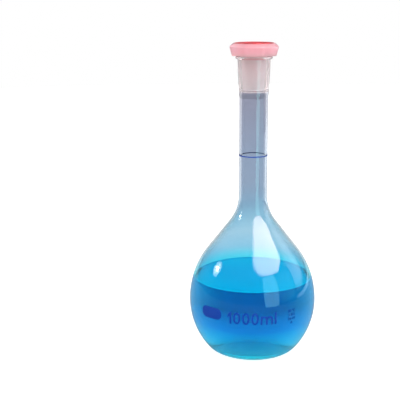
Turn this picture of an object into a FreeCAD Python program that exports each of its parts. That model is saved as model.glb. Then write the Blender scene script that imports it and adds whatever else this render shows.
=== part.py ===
"""A 1000 ml volumetric flask with its tapered plastic stopper, as a parametric document.

Origin: centre of the foot, on the surface that the flask stands on. +Z up. Millimetres.
Every round piece is one profile in the XZ plane, turned about Z.
"""
import FreeCAD, Part
import math
import os
from types import SimpleNamespace

import Sketcher

VECTOR = FreeCAD.Vector

# Driving dimensions: millimetres, and degrees where the name ends in angle.
SIZES = {
    "bulb_radius": 60.9,
    "equator_height": 51.6,
    "lower_arc_radius": 69.5,
    "upper_arc_radius": 81.1,
    "heel_radius": 19.0,
    "shoulder_angle": 38.0,
    "bulb_wall": 1.75,
    "neck_radius": 13.4,
    "neck_wall": 2.1,
    "neck_blend_radius": 42.7,
    "rim_height": 285.2,
    "foot_flat_width": 2.4,
    "foot_roll_radius": 6.0,
    "punt_height": 4.0,
    "base_thickness": 2.6,
    "joint_top_radius": 12.0,
    "joint_length": 29.0,
    "joint_half_angle": 2.862,
    "joint_top_drop": 1.6,
    "mouth_flare": 1.1,
    "joint_relief_length": 1.8,
    "socket_top_radius": 15.3,
    "socket_bottom_radius": 14.1,
    "socket_overrun": 1.6,
    "socket_blend_length": 6.0,
    "lip_radius": 17.2,
    "lip_thickness": 2.3,
    "taper_clearance": 0.08,
    "plug_wall": 1.3,
    "plug_floor": 1.5,
    "plug_setback": 1.0,
    "plug_chamfer": 0.8,
    "head_lift": 0.8,
    "head_height": 11.3,
    "head_flats_bottom": 41.0,
    "head_flats_widest": 45.2,
    "head_flats_top": 38.4,
    "head_chamfer_height": 3.0,
    "head_corner_radius": 5.0,
    "head_floor": 2.0,
    "insert_radius": 18.1,
    "insert_thickness": 1.2,
    "insert_recess": 0.8,
    "insert_skirt_radius": 16.2,
    "insert_skirt_wall": 1.3,
    "insert_skirt_depth": 7.5,
    "insert_clearance": 0.08,
    "liquid_level": 76.2,
    "liquid_clearance": 0.1,
    "graduation_height": 193.0,
    "graduation_width": 0.9,
    "enamel_thickness": 0.15,
    "text_height": 11.4,
    "text_middle": 51.0,
    "text_stroke": 1.8,
    "text_gap": 1.6,
    "one_width": 4.1,
    "zero_width": 6.9,
    "em_width": 11.9,
    "em_height": 8.4,
    "text_turn_angle": 0.0,
    "panel_width": 23.0,
    "panel_height": 11.0,
    "panel_corner_radius": 5.2,
    "panel_middle": 52.2,
    "panel_turn_angle": -38.5,
}
HEAD_SIDES = 8


def make_sheet(doc):
    """The spreadsheet that holds every driving dimension under its own alias."""
    sheet = doc.addObject("Spreadsheet::Sheet", "sizes")
    for row, (name, value) in enumerate(SIZES.items(), start=1):
        sheet.set(f"A{row}", name)
        sheet.set(f"B{row}", str(value))
        sheet.setAlias(f"B{row}", name)
    doc.recompute()
    return sheet


def plane_of(body, role):
    """One of the body's own origin planes."""
    return next(item for item in body.Origin.OriginFeatures if item.Role == role)


def tie(item, path, rule):
    """Binds one property of an object to a rule over the sheet's names."""
    words = sorted(SIZES, key=len, reverse=True)
    tokens = rule.split()
    bound = " ".join(f"sizes.{token}" if token in words else token for token in tokens)
    item.setExpression(path, bound)


class Outline:
    """A closed outline in a body's plane, drawn in order and held by constraints."""

    def __init__(self, body, name, role="XZ_Plane"):
        self.sketch = body.newObject("Sketcher::SketchObject", name)
        self.sketch.AttachmentSupport = [(plane_of(body, role), "")]
        self.sketch.MapMode = "FlatFace"
        self.pieces = []

    def line(self, start, end, smooth=False):
        """A straight run, joined to the piece before it."""
        shape = Part.LineSegment(VECTOR(*start, 0), VECTOR(*end, 0))
        return self._append(shape, 1, 2, smooth)

    def arc(self, centre, radius, start_angle, end_angle, smooth=True):
        """An arc drawn from one angle to the other, in either direction."""
        low, high = sorted((start_angle, end_angle))
        circle = Part.Circle(VECTOR(*centre, 0), VECTOR(0, 0, 1), radius)
        shape = Part.ArcOfCircle(circle, math.radians(low), math.radians(high))
        first, last = (1, 2) if start_angle < end_angle else (2, 1)
        return self._append(shape, first, last, smooth)

    def _append(self, shape, first, last, smooth):
        index = self.sketch.addGeometry(shape, False)
        if self.pieces:
            self._join(self.pieces[-1], (index, first, last), smooth)
        self.pieces.append((index, first, last))
        return self.pieces[-1]

    def _join(self, before, after, smooth):
        kind = "Tangent" if smooth else "Coincident"
        self.sketch.addConstraint(Sketcher.Constraint(kind, before[0], before[2], after[0], after[1]))

    def close(self, smooth=False):
        """Joins the last piece to the first."""
        self._join(self.pieces[-1], self.pieces[0], smooth)

    def hold(self, kind, *arguments):
        """A constraint with no size."""
        self.sketch.addConstraint(Sketcher.Constraint(kind, *arguments))

    def size(self, kind, arguments, value, rule):
        """A constraint with a size that follows the sheet."""
        index = self.sketch.addConstraint(Sketcher.Constraint(kind, *arguments, value))
        tie(self.sketch, f"Constraints[{index}]", rule)

    def radius(self, piece, value, rule):
        self.size("Radius", (piece[0],), value, rule)

    def across(self, piece, vertex, value, rule):
        """Distance of a vertex from the axis of the turned piece."""
        self.size("DistanceX", (-1, 1, piece[0], vertex), value, rule)

    def up(self, piece, vertex, value, rule):
        """Height of a vertex above the origin."""
        self.size("DistanceY", (-1, 1, piece[0], vertex), value, rule)

    def turn(self, body, kind="PartDesign::Revolution"):
        """Turns the outline a full circle about Z."""
        turned = body.newObject(kind, f"{self.sketch.Name}_turn")
        turned.Profile = self.sketch
        turned.ReferenceAxis = (self.sketch, ["V_Axis"])
        turned.Angle = 360.0
        body.Document.recompute()
        return turned


def polyline(outline, points, closed=True):
    """Straight runs through points given as (x, x rule, z, z rule), each held by its rules."""
    ends = points[1:] + (points[:1] if closed else [])
    for start, end in zip(points, ends):
        piece = outline.line((start[0], start[2]), (end[0], end[2]))
        if start[1] == "0":
            outline.hold("PointOnObject", piece[0], 1, -2)
        else:
            outline.across(piece, 1, start[0], start[1])
        outline.up(piece, 1, start[2], start[3])
    if closed:
        outline.close()


def heel_angle(v):
    """Angle below the horizontal where the heel arc meets the lower bulb arc."""
    return math.degrees(math.asin((v.equator_height - v.heel_radius) / (v.lower_arc_radius - v.heel_radius)))


def foot_radius(v):
    """Radius at which the heel arc reaches the ground."""
    turn = math.radians(heel_angle(v))
    across = v.bulb_radius - v.lower_arc_radius * (1 - math.cos(turn))
    return across - v.heel_radius * math.cos(turn)


def dome_circle(apex, valley_x, valley_z, valley_radius):
    """Circle centred on the axis through the apex that touches the valley arc: radius and touching angle."""
    drop = valley_z - apex
    radius = (valley_x ** 2 + drop ** 2 - valley_radius ** 2) / (2 * (valley_radius - drop))
    return radius, math.degrees(math.atan2(drop + radius, valley_x))


def shoulder_ends(v, inset, neck, blend):
    """Ends of the straight shoulder between the upper bulb arc and the neck blend."""
    slope = math.radians(v.shoulder_angle)
    reach = v.upper_arc_radius - inset
    x1 = v.bulb_radius - inset - reach * (1 - math.cos(slope))
    z1 = v.equator_height + reach * math.sin(slope)
    x2 = neck + blend * (1 - math.cos(slope))
    z2 = z1 + (x1 - x2) / math.tan(slope)
    return (x1, z1), (x2, z2)


def outer_bulb(outline, v):
    """Pushed-up base, foot ring, heel and bulb, up to the start of the neck."""
    foot = foot_radius(v)
    inner_foot = foot - v.foot_flat_width
    dome, dome_angle = dome_circle(v.punt_height, inner_foot, v.foot_roll_radius, v.foot_roll_radius)
    punt = outline.arc((0, v.punt_height - dome), dome, 90, dome_angle)
    outline.hold("PointOnObject", punt[0], 3, -2)
    outline.hold("PointOnObject", punt[0], punt[1], -2)
    outline.up(punt, punt[1], v.punt_height, "punt_height")
    roll = outline.arc((inner_foot, v.foot_roll_radius), v.foot_roll_radius, dome_angle - 180, -90)
    outline.radius(roll, v.foot_roll_radius, "foot_roll_radius")
    flat = outline.line((inner_foot, 0), (foot, 0), smooth=True)
    outline.hold("PointOnObject", flat[0], 1, -1)
    outline.hold("Horizontal", flat[0])
    outline.size("DistanceX", (flat[0], 1, flat[0], 2), v.foot_flat_width, "foot_flat_width")
    angle = heel_angle(v)
    heel = outline.arc((foot, v.heel_radius), v.heel_radius, -90, -angle)
    outline.radius(heel, v.heel_radius, "heel_radius")
    lower = outline.arc((v.bulb_radius - v.lower_arc_radius, v.equator_height), v.lower_arc_radius, -angle, 0)
    outline.radius(lower, v.lower_arc_radius, "lower_arc_radius")
    outline.hold("Horizontal", lower[0], 3, lower[0], lower[2])
    outline.across(lower, lower[2], v.bulb_radius, "bulb_radius")
    outline.up(lower, lower[2], v.equator_height, "equator_height")
    return upper_bulb(outline, v)


def upper_bulb(outline, v):
    """Outer upper arc, shoulder and concave blend, then the outside of the neck."""
    upper = outline.arc((v.bulb_radius - v.upper_arc_radius, v.equator_height),
                        v.upper_arc_radius, 0, v.shoulder_angle, smooth=False)
    outline.radius(upper, v.upper_arc_radius, "upper_arc_radius")
    outline.hold("Horizontal", upper[0], 3, upper[0], upper[1])
    start, end = shoulder_ends(v, 0.0, v.neck_radius, v.neck_blend_radius)
    shoulder = outline.line(start, end, smooth=True)
    outline.size("Angle", (shoulder[0],), math.radians(90 + v.shoulder_angle),
                 "shoulder_angle * 1deg + 90deg")
    neck_start = end[1] + v.neck_blend_radius * math.sin(math.radians(v.shoulder_angle))
    blend = outline.arc((v.neck_radius + v.neck_blend_radius, neck_start),
                        v.neck_blend_radius, 180 + v.shoulder_angle, 180)
    outline.radius(blend, v.neck_blend_radius, "neck_blend_radius")
    return neck_start


def inner_bulb(outline, v, inset, inset_rule, top_angle, smooth):
    """Inside of the bulb from its upper arc down to the axis, set in from the outer arcs."""
    reach = v.upper_arc_radius - inset
    upper = outline.arc((v.bulb_radius - v.upper_arc_radius, v.equator_height), reach, top_angle, 0, smooth)
    outline.radius(upper, reach, f"upper_arc_radius - ( {inset_rule} )")
    outline.hold("Horizontal", upper[0], 3, upper[0], upper[2])
    angle = heel_angle(v)
    sweep = v.lower_arc_radius - inset
    lower = outline.arc((v.bulb_radius - v.lower_arc_radius, v.equator_height), sweep, 0, -angle,
                        smooth=False)
    outline.radius(lower, sweep, f"lower_arc_radius - ( {inset_rule} )")
    outline.hold("Horizontal", lower[0], 3, lower[0], lower[1])
    outline.across(lower, lower[1], v.bulb_radius - inset, f"bulb_radius - ( {inset_rule} )")
    outline.up(lower, lower[1], v.equator_height, "equator_height")
    apex = v.punt_height + v.base_thickness + inset - v.bulb_wall
    foot = foot_radius(v)
    valley_radius = v.heel_radius - inset
    dome, dome_angle = dome_circle(apex, foot, v.heel_radius, valley_radius)
    valley = outline.arc((foot, v.heel_radius), valley_radius, -angle, dome_angle - 180)
    outline.radius(valley, valley_radius, f"heel_radius - ( {inset_rule} )")
    outline.up(valley, 3, v.heel_radius, "heel_radius")
    floor = outline.arc((0, apex - dome), dome, dome_angle, 90)
    outline.hold("PointOnObject", floor[0], 3, -2)
    outline.hold("PointOnObject", floor[0], floor[2], -2)
    outline.up(floor, floor[2], apex, f"punt_height + base_thickness + ( {inset_rule} ) - bulb_wall")
    return apex


def outer_socket(outline, v, neck_start):
    """Outside of the neck, the thicker socket round the ground joint, and the flared lip."""
    joint_bottom = v.rim_height - v.joint_top_drop - v.joint_length
    joint_rule = "rim_height - joint_top_drop - joint_length"
    socket_bottom = joint_bottom - v.socket_overrun
    neck_end = socket_bottom - v.socket_blend_length
    lip_under = v.rim_height - v.lip_thickness
    neck = outline.line((v.neck_radius, neck_start), (v.neck_radius, neck_end), smooth=True)
    outline.hold("Vertical", neck[0])
    outline.across(neck, 1, v.neck_radius, "neck_radius")
    outline.up(neck, 2, neck_end, f"{joint_rule} - socket_overrun - socket_blend_length")
    swell = outline.line((v.neck_radius, neck_end), (v.socket_bottom_radius, socket_bottom))
    outline.across(swell, 2, v.socket_bottom_radius, "socket_bottom_radius")
    outline.up(swell, 2, socket_bottom, f"{joint_rule} - socket_overrun")
    side = outline.line((v.socket_bottom_radius, socket_bottom), (v.socket_top_radius, lip_under))
    outline.across(side, 2, v.socket_top_radius, "socket_top_radius")
    outline.up(side, 2, lip_under, "rim_height - lip_thickness")
    edge = v.lip_thickness / 2
    under = outline.line((v.socket_top_radius, lip_under), (v.lip_radius - edge, lip_under))
    outline.hold("Horizontal", under[0])
    bead = outline.arc((v.lip_radius - edge, v.rim_height - edge), edge, -90, 90)
    outline.across(bead, 3, v.lip_radius - edge, "lip_radius - lip_thickness / 2")
    top = outline.line((v.lip_radius - edge, v.rim_height),
                       (v.joint_top_radius + v.mouth_flare, v.rim_height),
                       smooth=True)
    outline.hold("Horizontal", top[0])
    outline.up(top, 1, v.rim_height, "rim_height")


def inner_socket(outline, v):
    """Flared mouth, conical ground joint, relief below it and the bore of the neck."""
    joint_top = v.rim_height - v.joint_top_drop
    joint_bottom = joint_top - v.joint_length
    joint_foot = v.joint_top_radius - v.joint_length * math.tan(math.radians(v.joint_half_angle))
    bore = v.neck_radius - v.neck_wall
    relief = joint_bottom - v.joint_relief_length
    bottom_rule = "rim_height - joint_top_drop - joint_length"
    flare = outline.line((v.joint_top_radius + v.mouth_flare, v.rim_height), (v.joint_top_radius, joint_top))
    outline.across(flare, 1, v.joint_top_radius + v.mouth_flare, "joint_top_radius + mouth_flare")
    outline.across(flare, 2, v.joint_top_radius, "joint_top_radius")
    outline.up(flare, 2, joint_top, "rim_height - joint_top_drop")
    cone = outline.line((v.joint_top_radius, joint_top), (joint_foot, joint_bottom))
    outline.across(cone, 2, joint_foot, "joint_top_radius - joint_length * tan( joint_half_angle * 1deg )")
    outline.up(cone, 2, joint_bottom, bottom_rule)
    step = outline.line((joint_foot, joint_bottom), (bore, relief))
    outline.across(step, 2, bore, "neck_radius - neck_wall")
    outline.up(step, 2, relief, f"{bottom_rule} - joint_relief_length")
    blend_radius = v.neck_blend_radius + v.neck_wall
    start, end = shoulder_ends(v, v.bulb_wall, bore, blend_radius)
    bore_end = end[1] + blend_radius * math.sin(math.radians(v.shoulder_angle))
    wall = outline.line((bore, relief), (bore, bore_end))
    outline.hold("Vertical", wall[0])
    blend = outline.arc((bore + blend_radius, bore_end), blend_radius, 180, 180 + v.shoulder_angle)
    outline.radius(blend, blend_radius, "neck_blend_radius + neck_wall")
    shoulder = outline.line(end, start, smooth=True)
    outline.size("Angle", (shoulder[0],), math.radians(v.shoulder_angle - 90),
                 "shoulder_angle * 1deg - 90deg")


def make_flask_glass(doc, v):
    """The flask: one piece of glass from the pushed-up base to the lip of the ground joint."""
    body = doc.addObject("PartDesign::Body", "flask_glass")
    outline = Outline(body, "flask_profile")
    neck_start = outer_bulb(outline, v)
    outer_socket(outline, v, neck_start)
    inner_socket(outline, v)
    apex = inner_bulb(outline, v, v.bulb_wall, "bulb_wall", v.shoulder_angle, smooth=True)
    outline.line((0, apex), (0, v.punt_height))
    outline.close()
    outline.turn(body)
    return body


def make_solution(doc, v):
    """The coloured solution: fills the bulb to the liquid level, just clear of the glass."""
    body = doc.addObject("PartDesign::Body", "solution")
    inset = v.bulb_wall + v.liquid_clearance
    reach = v.upper_arc_radius - inset
    level_angle = math.degrees(math.asin((v.liquid_level - v.equator_height) / reach))
    edge = v.bulb_radius - v.upper_arc_radius + reach * math.cos(math.radians(level_angle))
    outline = Outline(body, "solution_profile")
    surface = outline.line((0, v.liquid_level), (edge, v.liquid_level))
    outline.hold("PointOnObject", surface[0], 1, -2)
    outline.hold("Horizontal", surface[0])
    outline.up(surface, 1, v.liquid_level, "liquid_level")
    apex = inner_bulb(outline, v, inset, "bulb_wall + liquid_clearance", level_angle, smooth=False)
    outline.line((0, apex), (0, v.liquid_level))
    outline.close()
    outline.turn(body)
    return body


def octagon(body, v, name, flats, height, height_rule):
    """A level octagon with rounded corners, of the given width across flats, one flat to the front."""
    bend = v["head_corner_radius"]
    orbit = (v[flats] / 2 - bend) / math.cos(math.pi / HEAD_SIDES)
    outline = Outline(body, name, "XY_Plane")
    sketch = outline.sketch
    sketch.AttachmentOffset = FreeCAD.Placement(VECTOR(0, 0, height), FreeCAD.Rotation())
    tie(sketch, "AttachmentOffset.Base.z", height_rule)
    step = 360 / HEAD_SIDES
    corners = []
    for side in range(HEAD_SIDES):
        angle = step * (side - 0.5) - 90
        corners.append((VECTOR(orbit, 0, 0), VECTOR(bend, 0, 0), angle))
    for side, (centre, arm, angle) in enumerate(corners):
        turned = FreeCAD.Rotation(VECTOR(0, 0, 1), angle).multVec(centre)
        outline.arc((turned.x, turned.y), bend, angle - step / 2, angle + step / 2)
        facing = FreeCAD.Rotation(VECTOR(0, 0, 1), angle + step / 2).multVec(arm)
        following = FreeCAD.Rotation(VECTOR(0, 0, 1), angle + step).multVec(centre)
        outline.line((turned.x + facing.x, turned.y + facing.y),
                     (following.x + facing.x, following.y + facing.y), smooth=True)
    outline.close(smooth=True)
    ring = sketch.addGeometry(Part.Circle(VECTOR(), VECTOR(0, 0, 1), orbit), True)
    outline.hold("Coincident", ring, 3, -1, 1)
    outline.size("Radius", (ring,), orbit, f"( {flats} / 2 - head_corner_radius ) / cos( {step / 2}deg )")
    outline.size("Radius", (0,), bend, "head_corner_radius")
    for side in range(HEAD_SIDES):
        outline.hold("PointOnObject", 2 * side, 3, ring)
        if side:
            outline.hold("Equal", 0, 2 * side)
            outline.hold("Equal", 1, 2 * side + 1)
    outline.hold("Horizontal", 1)
    return sketch


def make_head(body, v):
    """The octagonal head, widest near its top."""
    values = vars(v)
    bottom = v.rim_height + v.head_lift
    widest = bottom + v.head_height - v.head_chamfer_height
    levels = [
        ("head_bottom", "head_flats_bottom", bottom, "rim_height + head_lift"),
        ("head_widest", "head_flats_widest", widest,
         "rim_height + head_lift + head_height - head_chamfer_height"),
        ("head_top", "head_flats_top", bottom + v.head_height, "rim_height + head_lift + head_height"),
    ]
    low, wide, high = (octagon(body, values, *level) for level in levels)
    loft = body.newObject("PartDesign::AdditiveLoft", "head_loft")
    loft.Profile = low
    loft.Sections = [wide, high]
    loft.Ruled = True
    body.Document.recompute()


def make_stopper_shell(doc, v):
    """The translucent stopper: a hollow octagonal head on a hollow plug that fits the ground joint."""
    body = doc.addObject("PartDesign::Body", "stopper_shell")
    make_head(body, v)
    taper = math.tan(math.radians(v.joint_half_angle))
    joint_top = v.rim_height - v.joint_top_drop
    plug_top = v.rim_height + v.head_lift + v.head_floor
    plug_bottom = joint_top - v.joint_length + v.plug_setback
    plug_end = v.joint_top_radius - v.taper_clearance - (joint_top - plug_bottom) * taper
    plug_root = v.joint_top_radius - v.taper_clearance + (plug_top - joint_top) * taper
    slope = "tan( joint_half_angle * 1deg )"
    end_rule = f"joint_top_radius - taper_clearance - ( joint_length - plug_setback ) * {slope}"
    rise = "( head_lift + head_floor + joint_top_drop )"
    root_rule = f"joint_top_radius - taper_clearance + {rise} * {slope}"
    bottom_rule = "rim_height - joint_top_drop - joint_length + plug_setback"
    top_rule = "rim_height + head_lift + head_floor"
    plug = Outline(body, "plug_profile")
    polyline(plug, [
        (0, "0", plug_bottom, bottom_rule),
        (plug_end - v.plug_chamfer, f"{end_rule} - plug_chamfer", plug_bottom, bottom_rule),
        (plug_end, end_rule, plug_bottom + v.plug_chamfer, f"{bottom_rule} + plug_chamfer"),
        (plug_root, root_rule, plug_top, top_rule),
        (0, "0", plug_top, top_rule),
    ])
    plug.turn(body)
    head_top = v.rim_height + v.head_lift + v.head_height
    head_rule = "rim_height + head_lift + head_height"
    skirt_bore = v.insert_skirt_radius + v.insert_clearance
    disc_bore = v.insert_radius + v.insert_clearance
    hollow = Outline(body, "hollow_profile")
    polyline(hollow, [
        (0, "0", plug_bottom + v.plug_floor, f"{bottom_rule} + plug_floor"),
        (plug_end - v.plug_wall, f"{end_rule} - plug_wall", plug_bottom + v.plug_floor,
         f"{bottom_rule} + plug_floor"),
        (plug_root - v.plug_wall, f"{root_rule} - plug_wall", plug_top, top_rule),
        (skirt_bore, "insert_skirt_radius + insert_clearance", plug_top, top_rule),
        (skirt_bore, "insert_skirt_radius + insert_clearance", head_top - v.insert_recess,
         f"{head_rule} - insert_recess"),
        (disc_bore, "insert_radius + insert_clearance", head_top - v.insert_recess,
         f"{head_rule} - insert_recess"),
        (disc_bore, "insert_radius + insert_clearance", head_top, head_rule),
        (0, "0", head_top, head_rule),
    ])
    hollow.turn(body, "PartDesign::Groove")
    return body


def make_colour_insert(doc, v):
    """The coloured cap pressed into the head: a disc with a short skirt."""
    body = doc.addObject("PartDesign::Body", "colour_insert")
    seat = v.rim_height + v.head_lift + v.head_height - v.insert_recess
    seat_rule = "rim_height + head_lift + head_height - insert_recess"
    top_rule = f"{seat_rule} + insert_thickness"
    inner = v.insert_skirt_radius - v.insert_skirt_wall
    inner_rule = "insert_skirt_radius - insert_skirt_wall"
    outline = Outline(body, "insert_profile")
    polyline(outline, [
        (0, "0", seat, seat_rule),
        (inner, inner_rule, seat, seat_rule),
        (inner, inner_rule, seat - v.insert_skirt_depth, f"{seat_rule} - insert_skirt_depth"),
        (v.insert_skirt_radius, "insert_skirt_radius", seat - v.insert_skirt_depth,
         f"{seat_rule} - insert_skirt_depth"),
        (v.insert_skirt_radius, "insert_skirt_radius", seat, seat_rule),
        (v.insert_radius, "insert_radius", seat, seat_rule),
        (v.insert_radius, "insert_radius", seat + v.insert_thickness, top_rule),
        (0, "0", seat + v.insert_thickness, top_rule),
    ])
    outline.turn(body)
    return body


def make_graduation_ring(doc, v):
    """The fired enamel line right round the neck that marks the capacity."""
    body = doc.addObject("PartDesign::Body", "graduation_ring")
    half = v.graduation_width / 2
    low, low_rule = v.graduation_height - half, "graduation_height - graduation_width / 2"
    high, high_rule = v.graduation_height + half, "graduation_height + graduation_width / 2"
    outer, outer_rule = v.neck_radius + v.enamel_thickness, "neck_radius + enamel_thickness"
    outline = Outline(body, "graduation_profile")
    polyline(outline, [
        (v.neck_radius, "neck_radius", low, low_rule),
        (outer, outer_rule, low, low_rule),
        (outer, outer_rule, high, high_rule),
        (v.neck_radius, "neck_radius", high, high_rule),
    ])
    outline.turn(body)
    return body


def enamel_skin(v, reach):
    """A thin layer that lies on the bulb, as far above and below the equator as reach."""
    edges = []
    inner, outer = [], []
    for radius, side in ((v.lower_arc_radius, -1), (v.upper_arc_radius, 1)):
        centre = VECTOR(v.bulb_radius - radius, 0, v.equator_height)
        for layer, points in ((0.0, inner), (v.enamel_thickness, outer)):
            curve = radius + layer
            points.append([centre + VECTOR(curve * math.cos(turn), 0, curve * math.sin(turn))
                           for turn in (side * share * math.asin(reach / curve) for share in (0, 0.5, 1))])
    for below, above in (inner, outer):
        edges.append(Part.Arc(*below).toShape())
        edges.append(Part.Arc(*above).toShape())
    edges.append(Part.makeLine(inner[0][2], outer[0][2]))
    edges.append(Part.makeLine(inner[1][2], outer[1][2]))
    face = Part.Face(Part.Wire(Part.__sortEdges__(edges)))
    return face.revolve(VECTOR(), VECTOR(0, 0, 1), 360)


def flat_bar(left, right, low, high):
    """An upright rectangle in the XZ plane."""
    return Part.makePlane(right - left, high - low, VECTOR(left, 0, low), VECTOR(0, -1, 0), VECTOR(1, 0, 0))


def digit_one(v):
    """A numeral one: a stem with a sloping flag."""
    half = v.one_width / 2
    top = v.text_height / 2
    stem = flat_bar(half - v.text_stroke, half, -top, top)
    tip = top - v.one_width
    flag = Part.makePolygon([VECTOR(half, 0, top), VECTOR(half - v.text_stroke, 0, top),
                             VECTOR(-half, 0, tip), VECTOR(-half, 0, tip - v.text_stroke),
                             VECTOR(half, 0, top - v.text_stroke), VECTOR(half, 0, top)])
    return stem.fuse(Part.Face(flag))


def digit_zero(v):
    """A numeral zero: an upright oval ring."""
    rims = []
    for inset in (0.0, v.text_stroke):
        tall = VECTOR(0, 0, v.text_height / 2 - inset)
        wide = VECTOR(v.zero_width / 2 - inset, 0, 0)
        rims.append(Part.Face(Part.Wire(Part.Ellipse(tall, wide, VECTOR()).toShape())))
    return rims[0].cut(rims[1])


def letter_em(v):
    """A small m: a stem and two arches that end in legs."""
    foot = -v.text_height / 2
    head = foot + v.em_height
    left = -v.em_width / 2
    span = (v.em_width + v.text_stroke) / 2
    glyph = flat_bar(left, left + v.text_stroke, foot, head)
    for arch in range(2):
        centre = left + span / 2 + arch * (span - v.text_stroke)
        crown = head - span / 2
        rims = [Part.Circle(VECTOR(centre, 0, crown), VECTOR(0, -1, 0), radius)
                for radius in (span / 2, span / 2 - v.text_stroke)]
        ring = [Part.Face(Part.Wire(rim.toShape())) for rim in rims]
        upper_half = flat_bar(centre - span, centre + span, crown, head + span)
        leg = flat_bar(centre + span / 2 - v.text_stroke, centre + span / 2, foot, crown)
        glyph = glyph.fuse(ring[0].cut(ring[1]).common(upper_half)).fuse(leg)
    return glyph


def letter_el(v):
    """A small l: one stem as tall as the numerals."""
    return flat_bar(-v.text_stroke / 2, v.text_stroke / 2, -v.text_height / 2, v.text_height / 2)


def printed(v, glyph, height, turn, skin):
    """A flat glyph laid on the bulb at a height and a turn about Z."""
    deep = v.bulb_radius / 2
    flat = glyph.translated(VECTOR(0, -v.bulb_radius - v.enamel_thickness - 1, height))
    prism, *others = flat.extrude(VECTOR(0, deep, 0)).Solids
    if others:
        prism = prism.multiFuse(others).removeSplitter()
    prism.rotate(VECTOR(), VECTOR(0, 0, 1), turn)
    return prism.common(skin)


def make_capacity_marking(doc, v):
    """The capacity, 1000 ml, in enamel round the front of the bulb."""
    glyphs = [(digit_one(v), v.one_width)]
    glyphs += [(digit_zero(v), v.zero_width) for _ in range(3)]
    glyphs += [(letter_em(v), v.em_width), (letter_el(v), v.text_stroke)]
    length = sum(width for _, width in glyphs) + v.text_gap * (len(glyphs) - 1)
    skin = enamel_skin(v, v.text_height)
    solids = []
    start = -length / 2
    for glyph, width in glyphs:
        turn = v.text_turn_angle + math.degrees((start + width / 2) / v.bulb_radius)
        solids += printed(v, glyph, v.text_middle, turn, skin).Solids
        start += width + v.text_gap
    marking = doc.addObject("Part::Feature", "capacity_marking")
    marking.Shape = Part.makeCompound(solids)
    return marking


def make_writing_panel(doc, v):
    """A plain enamel field with rounded corners beside the capacity."""
    half, tall, bend = v.panel_width / 2, v.panel_height / 2, v.panel_corner_radius
    field = flat_bar(-half, half, -tall, tall).extrude(VECTOR(0, 1, 0))
    upright = [edge for edge in field.Edges if edge.BoundBox.YLength > 0.5]
    rounded = field.makeFillet(bend, upright)
    face = next(face for face in rounded.Faces if face.BoundBox.YLength < 0.1)
    panel = doc.addObject("Part::Feature", "writing_panel")
    panel.Shape = printed(v, face, v.panel_middle, v.panel_turn_angle, enamel_skin(v, v.panel_height))
    return panel


def check(doc, parts):
    """Stops the build if any object failed or any sub-part is empty or not valid."""
    for item in doc.Objects:
        if {"Invalid", "Error"} & set(item.State):
            raise RuntimeError(f"{item.Name} failed: {item.State}")
    for item in parts:
        if item.Shape.isNull() or not item.Shape.isValid() or not item.Shape.Solids:
            raise RuntimeError(f"{item.Label} has no valid solid")


def main():
    doc = FreeCAD.newDocument("volumetric_flask")
    make_sheet(doc)
    sizes = SimpleNamespace(**SIZES)
    makers = [make_flask_glass, make_stopper_shell, make_colour_insert, make_solution,
              make_graduation_ring, make_capacity_marking, make_writing_panel]
    parts = [make(doc, sizes) for make in makers]
    doc.recompute()
    check(doc, parts)
    os.makedirs("parts", exist_ok=True)
    for item in parts:
        item.Shape.exportStep(f"parts/{item.Label}.step")
        print(f"{item.Label}: {len(item.Shape.Solids)} solids, {item.Shape.Volume / 1000:.3f} ml")


main()
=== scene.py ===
"""Looks for a stoppered 1000 ml volumetric flask, laid out as an add-on.

Each piece has its own operator and its own sizes; all are in metres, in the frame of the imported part.
"""
import math
import bpy
from bpy.props import FloatProperty, FloatVectorProperty, IntProperty, PointerProperty, StringProperty
from mathutils import Matrix, Vector


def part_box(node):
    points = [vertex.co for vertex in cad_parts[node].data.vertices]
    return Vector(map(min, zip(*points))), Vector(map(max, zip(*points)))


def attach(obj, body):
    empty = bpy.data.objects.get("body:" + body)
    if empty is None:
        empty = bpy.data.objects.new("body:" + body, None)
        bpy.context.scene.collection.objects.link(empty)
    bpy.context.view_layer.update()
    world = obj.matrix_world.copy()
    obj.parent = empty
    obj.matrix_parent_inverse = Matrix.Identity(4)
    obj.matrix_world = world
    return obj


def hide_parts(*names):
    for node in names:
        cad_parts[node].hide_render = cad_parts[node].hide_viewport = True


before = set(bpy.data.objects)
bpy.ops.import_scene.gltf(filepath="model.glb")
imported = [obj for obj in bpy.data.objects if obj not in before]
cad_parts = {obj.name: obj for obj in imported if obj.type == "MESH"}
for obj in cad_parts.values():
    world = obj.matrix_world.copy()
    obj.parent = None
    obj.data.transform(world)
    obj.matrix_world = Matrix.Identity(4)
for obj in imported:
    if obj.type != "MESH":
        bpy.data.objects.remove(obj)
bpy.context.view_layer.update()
GLASS_LOW, GLASS_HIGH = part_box("flask_glass")
PLUG_LOW, PLUG_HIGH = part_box("stopper_shell")
INSERT_LOW, INSERT_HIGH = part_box("colour_insert")
LIQUID_LOW, LIQUID_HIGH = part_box("solution")

bl_info = {
    "name": "Volumetric flask",
    "version": (1, 0, 0),
    "blender": (4, 5, 0),
    "location": "3D View > Sidebar > Flask",
    "description": "Turns a volumetric flask, its stopper, its solution and its enamel marks",
    "category": "Add Mesh",
}

FULL_TURN = 2 * math.pi
TINY = 1e-6

# Fineness of the meshes: the gap that closes up, the runs of a rounded corner and of the meniscus, the most
# of a run that one corner takes, the longest facets along an outline, and how far a cutting shape overshoots.
MERGE_GAP = 2e-6
CORNER_STEPS = 4
MENISCUS_STEPS = 10
MOST_CUT = 0.45
LONGEST_RUN = 0.004
LONGEST_SMALL_RUN = 0.006
OVERSHOOT = 0.002

# The stopper's head: its flats, and the facets round each of its upright corners.
FLATS = 8
CORNER_SEGMENTS = 8

# How much the clear pieces bend light, and how bright their reflections are. The solution bends it less than
# water does, because water's own value leaves a black rim.
GLASS_IOR = 1.47
SOLUTION_IOR = 1.08
PLASTIC_IOR = 1.35
DIM_REFLECTION = (0.35, 0.35, 0.35, 1.0)

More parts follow.
